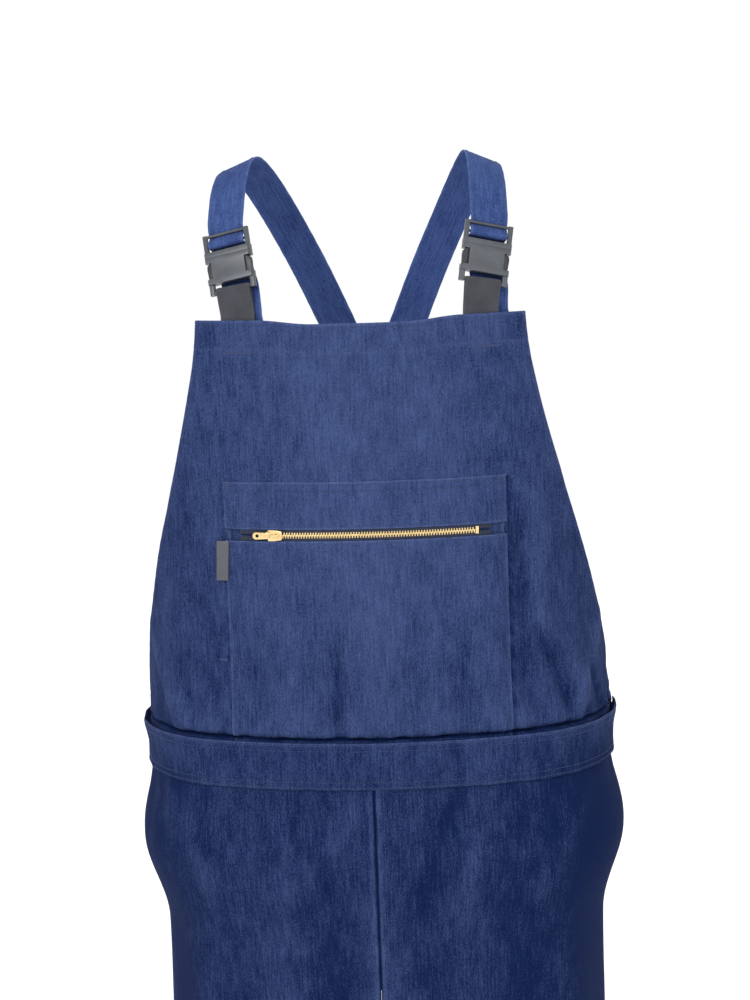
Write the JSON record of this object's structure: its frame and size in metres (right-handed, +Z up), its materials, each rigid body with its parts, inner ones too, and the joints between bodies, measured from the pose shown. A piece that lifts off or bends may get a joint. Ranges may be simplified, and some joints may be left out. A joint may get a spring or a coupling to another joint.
{
  "type": "denim bib apron",
  "caption": "Bib apron in denim with crossed shoulder straps on side-release buckles, zipped bib pocket, full waistband and two leg panels.",
  "frame": {"origin": "midpoint between the tops of the two shoulder straps", "axes": "+Z up, -Y out of the front of the bib, +X to the viewer's right (the wearer's left)"},
  "size_m": [0.4572, 0.2661, 1.0405],
  "materials": {
    "denim": "indigo cotton twill, slubby, topstitched",
    "denim_inside": "paler reverse of the twill",
    "label": "folded woven tape",
    "thread": "dense satin stitch",
    "zip_tape": "woven zip tape",
    "brass": "satin, lightly worn",
    "elastic": "woven elastic",
    "webbing": "ribbed woven webbing",
    "moulded_plastic": "fine satin grain"
  },
  "bodies": {
    "garment": {"bib_panel": "denim", "bib_top_facing": "denim_inside", "bib_side_facing_left": "denim_inside", "bib_side_facing_right": "denim_inside", "pocket_upper_strip": "denim", "pocket_front": "denim", "label_tab": "label", "bar_tacks": "thread", "zip_tape_upper": "zip_tape", "zip_tape_lower": "zip_tape", "zip_teeth_upper": "brass", "zip_teeth_lower": "brass", "zip_top_stops": "brass", "zip_bottom_stop": "brass", "waistband_front": "denim", "waistband_front_facing": "denim_inside", "waistband_back": "denim", "waistband_back_facing": "denim_inside", "waist_elastic": "elastic", "leg_panel_left": "denim", "leg_panel_right": "denim", "centre_seam_tape": "denim_inside", "leg_hem_left": "denim_inside", "leg_hem_right": "denim_inside", "strap_left": "denim", "strap_right": "denim", "webbing_loop_left": "webbing", "webbing_loop_right": "webbing", "buckle_socket_left": "moulded_plastic", "buckle_socket_right": "moulded_plastic"},
    "zip_slider": {"zip_slider": "brass"},
    "zip_pull": {"zip_pull_tab": "brass"},
    "clip_left": {"buckle_clip_left": "moulded_plastic"},
    "arm_left_outer": {"release_arm_left_outer": "moulded_plastic"},
    "arm_left_inner": {"release_arm_left_inner": "moulded_plastic"},
    "clip_right": {"buckle_clip_right": "moulded_plastic"},
    "arm_right_outer": {"release_arm_right_outer": "moulded_plastic"},
    "arm_right_inner": {"release_arm_right_inner": "moulded_plastic"}
  },
  "joints": [
    {"name": "zip_slide", "type": "hinge", "parent": "garment", "child": "zip_slider", "pos_m": [0, 0.32201, -0.323], "axis": [0, 0, 1], "range_deg": [0, 21.51], "deforming": ["zip_teeth_upper", "zip_teeth_lower"]},
    {"name": "zip_pull_swing", "type": "hinge", "parent": "zip_slider", "child": "zip_pull", "pos_m": [-0.08012, -0.12679, -0.323], "axis": [0, 0, 1], "range_deg": [0, 170]},
    {"name": "buckle_left_release", "type": "slide", "parent": "garment", "child": "clip_left", "axis": [-0.1365, 0.3204, 0.9374], "range_m": [0, 0.026], "deforming": ["strap_left", "release_arm_left_outer", "release_arm_left_inner"]},
    {"name": "buckle_left_squeeze_outer", "type": "hinge", "parent": "clip_left", "child": "arm_left_outer", "pos_m": [-0.12948, -0.08069, -0.07846], "axis": [-0.2993, -0.9154, 0.2693], "range_deg": [0, 15], "stiffness_Nm_per_rad": 0.15},
    {"name": "buckle_left_squeeze_inner", "type": "hinge", "parent": "clip_left", "child": "arm_left_inner", "pos_m": [-0.09964, -0.08839, -0.07148], "axis": [0.2993, 0.9154, -0.2693], "range_deg": [0, 15], "stiffness_Nm_per_rad": 0.15},
    {"name": "buckle_right_release", "type": "slide", "parent": "garment", "child": "clip_right", "axis": [0.1365, 0.3204, 0.9374], "range_m": [0, 0.026], "deforming": ["strap_right", "release_arm_right_outer", "release_arm_right_inner"]},
    {"name": "buckle_right_squeeze_outer", "type": "hinge", "parent": "clip_right", "child": "arm_right_outer", "pos_m": [0.12948, -0.08069, -0.07846], "axis": [-0.2993, 0.9154, -0.2693], "range_deg": [0, 15], "stiffness_Nm_per_rad": 0.15},
    {"name": "buckle_right_squeeze_inner", "type": "hinge", "parent": "clip_right", "child": "arm_right_inner", "pos_m": [0.09964, -0.08839, -0.07148], "axis": [0.2993, -0.9154, 0.2693], "range_deg": [0, 15], "stiffness_Nm_per_rad": 0.15}
  ],
  "couplings": [
    {"joint": "buckle_left_squeeze_inner", "follows": "buckle_left_squeeze_outer", "ratio": 1},
    {"joint": "buckle_right_squeeze_inner", "follows": "buckle_right_squeeze_outer", "ratio": 1}
  ]
}
